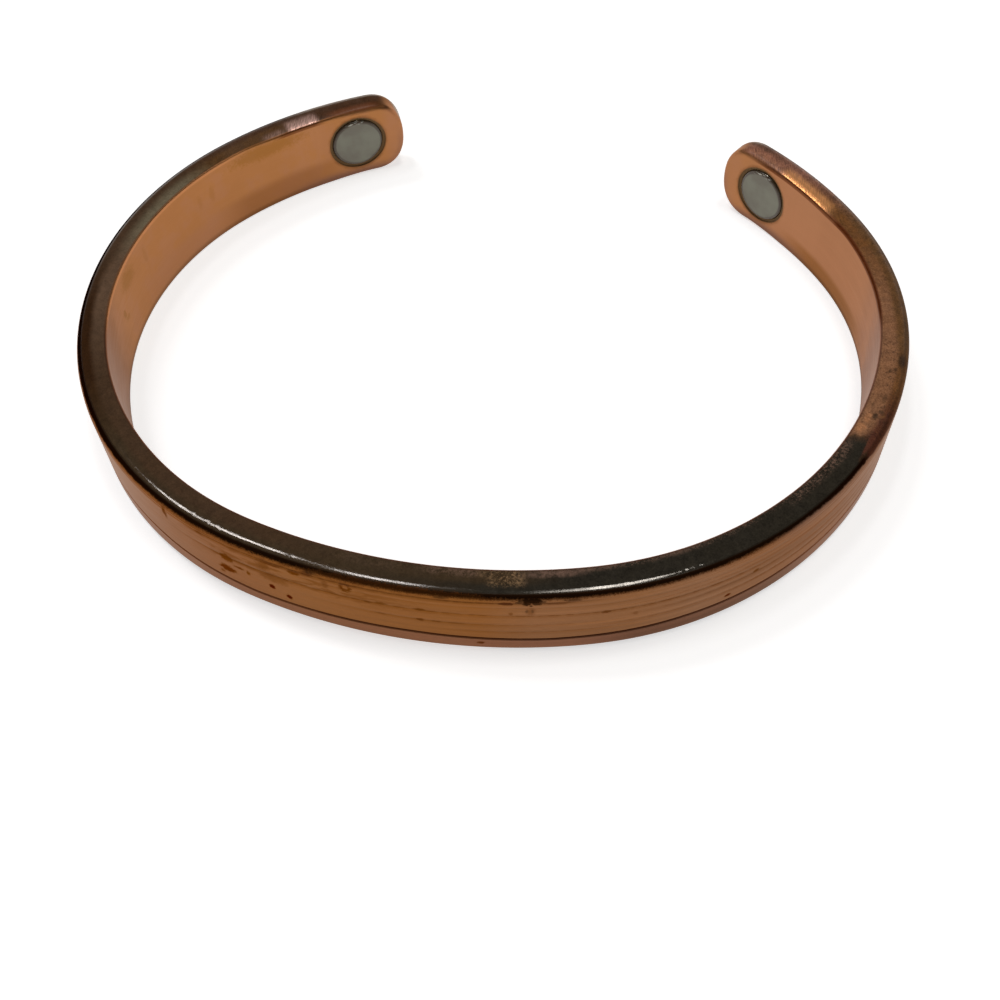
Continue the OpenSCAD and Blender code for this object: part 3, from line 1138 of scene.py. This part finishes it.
        # The glints on the sanded ends are painted highlights: pale pink and bright copper laid over the
        # tarnish along the sanding marks, beside a strip of bare metal at the inner edge.
        left = net.times(self.over("left glint"), net.step(u, 0.3, -1.0))
        left_faint = net.times(self.over("faint left glint"), net.step(u, -0.3, -0.9), 0.26)
        colour = net.lay("pink glint", colour, net.most(left, left_faint), net.lerp(lines, 0.35, 0.9))
        right = net.times(self.over("right glint"), net.step(u, 0.2, -0.8))
        right_faint = net.times(self.over("faint right glint"), net.step(u, 0.2, -1.0), 0.2)
        right_glint = net.most(net.times(right, net.lerp(lines, 0.5, 1.0)), net.times(right_faint, lines))
        colour = net.lay("painted glint copper", colour, right_glint)
        bare = net.most(net.times(self.over("left glint"), net.lerp(lines, 0.2, 1.0)),
                        net.times(self.over("bare right edge"), net.lerp(lines, 0.42, 1.0)))
        bare = net.times(bare, net.step(u, -0.35, -0.75))
        return colour, black, worn, shaded_shoulder, bare, net.times(sanding, net.most(left, right, right_faint))

    def tarnish_reach(self):
        """Masks of the tarnish on the upper edge and of the black smudges that come down from it."""
        net, s = self.net, self.s
        # It reaches less far down in front, where its edge is more ragged, and fades out at the tips
        lift = net.add(net.step(s, -26.0, -18.0, 0.0, 0.07), net.times(self.over("front lift"), 0.16),
                       net.times(self.over("right lift"), 0.04), net.step(s, 35.0, 44.0, 0.0, -0.22))
        ragged = net.times(net.centred(self.speckle, 1.0), net.lerp(self.over("ragged front"), 0.15, 0.38))
        level = net.minus(net.minus(BAND_H, self.edge), lift)
        upper = net.step(net.add(level, net.centred(self.mottle, 0.2), ragged), 7.09, 7.2)
        tip_fade = net.step(net.add(self.z, net.centred(self.mottle, 0.2)), 7.0, 7.44)
        upper = net.times(upper, net.lerp(self.near_tip(4.0, 3.0), 1.0, tip_fade))
        smudges = net.times(marks(net, s, self.z, self.ragged, BLACK_MARKS), self.on_outer)
        return upper, smudges

    def tip_rim_highlights(self, upper):
        """A mask of the painted pale highlight along the rims of the tips, on the outer edge at the top and
        wider lower down.
        """
        net = self.net
        low = net.step(self.z, 6.9, 5.6)
        rim_highlights = net.step(self.u, net.lerp(low, 0.3, -1.1), net.lerp(low, 0.75, -0.6))
        rim_highlights = net.times(rim_highlights, self.near_tip(3.4, 2.0), net.step(self.edge, 0.4, 0.08), 0.85)
        run_out = net.step(self.s, LEFT_END + 12.0, LEFT_END + 8.0)
        run_out = net.times(run_out, net.step(self.u, 0.3, 0.7), 0.6)
        return net.most(rim_highlights, net.times(run_out, upper))

    def gloss(self, dull_ends):
        """How strongly the tarnish shines, dull at the ends and brighter along the outer bead in front."""
        net = self.net
        gloss = net.step(self.clouds, 0.35, 0.6, 0.21, 0.38)
        gloss = net.times(gloss, net.step(self.z, 7.3, 7.44), net.lerp(dull_ends, 1.0, 0.4))
        gloss = net.times(gloss, net.step(self.s, 4.0, 9.0, 1.07, 1.2))
        gloss = net.times(gloss, net.step(self.speckle, 0.4, 0.6, 0.65, 1.2))
        return net.add(gloss, 0.02)

    def relief(self, black, sanding):
        """The normal of the fine streaks, scratches and sanding marks."""
        net = self.net
        scratches = net.vector(net.times(self.s, 0.4), self.z, net.times(self.u, 3.0))
        scratches = net.noise(scratches, 6.0, 4.0, 0.7)
        height = net.add(net.times(self.streaks["Lines"], 0.5), net.times(scratches, 0.2), sanding,
                         net.times(black, self.mottle, 0.5))
        return net.bump(height, 0.3, 0.00003)

    def make(self):
        net = self.net
        outer, dark_marks, groove = self.outer_copper()
        copper = net.blend(net.step(self.u, -1.0, 0.8), self.inner_copper(), outer)
        top, black, worn, shaded_shoulder, bare, sanding = self.upper_edge()
        upper, smudges = self.tarnish_reach()
        tarnish = net.most(net.times(upper, net.step(self.u, -1.2, -1.0)), smudges)
        rim_highlights = self.tip_rim_highlights(upper)
        shaded_shoulder = net.times(shaded_shoulder, tarnish)
        dull_ends = net.most(net.step(self.s, -58.0, -66.0), worn)

        colour = net.blend(tarnish, net.shade(copper, COPPER_GAIN - 1), top)
        # The rims of the tips are painted pale grey, as a painted highlight along their edges.
        rim_highlight_colour = net.lay("low rim highlight grey", PALETTE["rim highlight grey"], net.step(self.z, 4.5, 2.0))
        colour = net.blend(rim_highlights, colour, rim_highlight_colour)
        colour = net.lay("grime", colour, self.in_pocket)
        metal = net.most(net.inverse(net.most(tarnish, rim_highlights)), shaded_shoulder, bare)
        copper_rough = net.add(0.38, net.centred(self.streaks["Lines"], 0.2))
        tarnish_rough = net.add(0.09, net.times(dull_ends, 0.3), net.centred(self.fine, 0.06))
        rough = net.lerp(tarnish, copper_rough, tarnish_rough)
        rough = net.lerp(net.most(smudges, rim_highlights, shaded_shoulder), rough, 0.5)
        edge_tint = net.blend(net.times(dark_marks, self.on_outer), COPPER_EDGE, MARK_EDGE)
        edge_tint = net.blend(net.times(groove, self.on_outer), edge_tint, GROOVE_EDGE)
        edge_tint = net.blend(shaded_shoulder, net.blend(tarnish, edge_tint, TARNISH_GLOSS), SHOULDER_EDGE)
        net.fill(self.shader, {
            "Base Color": colour,
            "Metallic": net.lerp(self.in_pocket, metal, 0.0),
            "Roughness": net.lerp(bare, rough, 0.29),
            "IOR": 1.72,
            "Specular IOR Level": self.gloss(dull_ends),
            "Specular Tint": edge_tint,
            "Normal": self.relief(black, sanding),
        })
        return self.material


def magnet_material(grain):
    material, net, shader = new_material("worn_plating")
    x, y, up, radius = (net.attribute(name) for name in COORDS[:4])
    rubbed = use_group(net, grain, {"Where": net.vector(net.times(x, 0.3), y, up), "Fineness": 6.0})
    clouds = net.noise(net.vector(x, y, up), 0.45, 2.0, 0.5)
    base = net.lay("dull nickel", PALETTE["nickel"], net.step(clouds, 0.3, 0.7))
    # A rubbed arc at the top of each disc's rim: plating worn bright, painted lighter as a highlight too, and
    # kept free of dirt.
    rubbed_rim_glint = net.times(net.stretch(x, -0.9, 1.3, 0.3), net.step(y, 1.8, 2.1))
    rubbed_rim_glint = net.times(rubbed_rim_glint, net.step(rubbed["Lines"], 0.5, 0.6))
    dirt = net.times(net.step(net.add(radius, net.centred(clouds, 0.2)), 2.14, 2.3), net.inverse(rubbed_rim_glint))
    base = net.lay("rubbed nickel glint", base, rubbed_rim_glint, net.step(radius, 2.1, 2.3))
    base = net.lay("packed dirt", base, dirt, 0.9)
    rough = net.add(0.5, net.centred(rubbed["Lines"], 0.15), net.step(radius, 2.2, 2.4, 0.0, -0.25))
    net.fill(shader, {
        "Base Color": base,
        "Metallic": net.lerp(dirt, 0.8, 0.0),
        "Roughness": rough,
        "Normal": net.bump(rubbed["Lines"], 0.2, 0.00002),
    })
    return material


# Half the width of the table, in metres, and the light that it gives out itself, which keeps its shadows as
# pale as in the photograph
TABLE_HALF = 3.0
TABLE_GLOW = 0.63


def table_material():
    material, net, shader = new_material("pale_table")
    net.fill(shader, {
        "Base Color": (0.8, 0.8, 0.8, 1),
        "Roughness": 0.8,
        "Specular IOR Level": 0.0,
        "Emission Color": (1, 1, 1, 1),
        "Emission Strength": TABLE_GLOW,
    })
    return material


# Camera, floor and light

# The camera of the photograph: focal length in pixels of its 1000-pixel frame, angles, the point on the table
# that the axis would meet, the distance to it, and where the axis meets the frame
FOCAL = 1234.23
ELEVATION = radians(54.537)
AZIMUTH = radians(8.378)
ROLL = radians(-0.992)
AIM = Vector((7.039, -13.808, 0)) * MM
DISTANCE = 100.162 * MM
AXIS_PIXEL = (548.09, 506.77)
FRAME = 1000
SENSOR = 36.0
# Nearest and furthest that it sees, in metres
CLIP = (0.005, 10.0)


def make_camera():
    data = bpy.data.cameras.new("camera")
    data.sensor_width = SENSOR
    data.sensor_fit = "HORIZONTAL"
    data.lens = SENSOR * FOCAL / FRAME
    data.shift_x = (FRAME / 2 - AXIS_PIXEL[0]) / FRAME
    data.shift_y = (AXIS_PIXEL[1] - FRAME / 2) / FRAME
    data.clip_start, data.clip_end = CLIP
    camera = in_scene("camera", data)
    right = Vector((cos(AZIMUTH), sin(AZIMUTH), 0))
    back = Vector((cos(ELEVATION) * sin(AZIMUTH), -cos(ELEVATION) * cos(AZIMUTH), sin(ELEVATION)))
    up = back.cross(right)
    turned_right = right * cos(ROLL) - up * sin(ROLL)
    turned_up = right * sin(ROLL) + up * cos(ROLL)
    matrix = Matrix((turned_right, turned_up, back)).transposed().to_4x4()
    matrix.translation = AIM + back * DISTANCE
    camera.matrix_world = matrix
    bpy.context.scene.camera = camera


def make_table():
    mesh = bpy.data.meshes.new("table_top")
    corners = [(x * TABLE_HALF, y * TABLE_HALF, 0) for x, y in ((-1, -1), (1, -1), (1, 1), (-1, 1))]
    mesh.from_pydata(corners, [], [(0, 1, 2, 3)])
    mesh.materials.append(table_material())
    in_scene("table_top", mesh)


# Soft boxes over the bangle: direction, width and depth in degrees, brightness, colour
SOFT_BOXES = {
    "left_box": ((-0.43, 0.25, 0.865), 13, 9, 16.5, (1.0, 0.97, 0.97)),
    "middle_box": ((-0.23, 0.07, 0.97), 6, 12, 14, (0.98, 0.97, 1.0)),
    "right_box": ((0.135, 0.065, 0.99), 10, 16, 14, (1.0, 0.97, 0.92)),
}
BOX_DISTANCE = 1.5
# Brightness of the room near its horizon and overhead
HORIZON = 1.2
OVERHEAD = 0.05


def soft_box(name, direction, width, depth, brightness, colour):
    """A lamp with its width across the view, that shines at the bangle."""
    size = [2 * BOX_DISTANCE * tan(radians(angle) / 2) for angle in (width, depth)]
    data = bpy.data.lights.new(name, "AREA")
    data.shape = "RECTANGLE"
    data.size, data.size_y = size
    data.energy = brightness * pi * size[0] * size[1]
    data.color = colour
    lamp = in_scene(name, data)
    away = Vector(direction).normalized()
    back = away.cross(Vector((1, 0, 0))).normalized()
    lamp.matrix_world = Matrix((back.cross(away), back, away)).transposed().to_4x4()
    lamp.location = away * BOX_DISTANCE


def make_light():
    world = bpy.data.worlds.new("studio")
    bpy.context.scene.world = world
    world.use_nodes = True
    net = Net(world.node_tree)
    background = next(n for n in world.node_tree.nodes if n.type == "BACKGROUND")
    direction = net.node("ShaderNodeTexCoord").outputs["Generated"]
    up = net.node("ShaderNodeSeparateXYZ", {"Vector": direction}).outputs["Z"]
    background.inputs["Color"].default_value = (1, 1, 1, 1)
    net.put(net.step(up, 0.1, 0.42, HORIZON, OVERHEAD), background.inputs["Strength"])
    for name, settings in SOFT_BOXES.items():
        soft_box(name, *settings)


def build_scene():
    grain = grain_group()
    band = make_band()
    band.data.materials.append(BandLook(grain).make())
    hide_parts("band")
    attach(band, "root")
    plating = magnet_material(grain)
    for name, side in (("magnet_left", -1), ("magnet_right", 1)):
        disc = make_magnet(name + "_disc", side)
        disc.data.materials.append(plating)
        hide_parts(name)
        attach(disc, "root")
    make_table()
    make_camera()
    make_light()
    bpy.context.scene.view_settings.view_transform = "Standard"


build_scene()
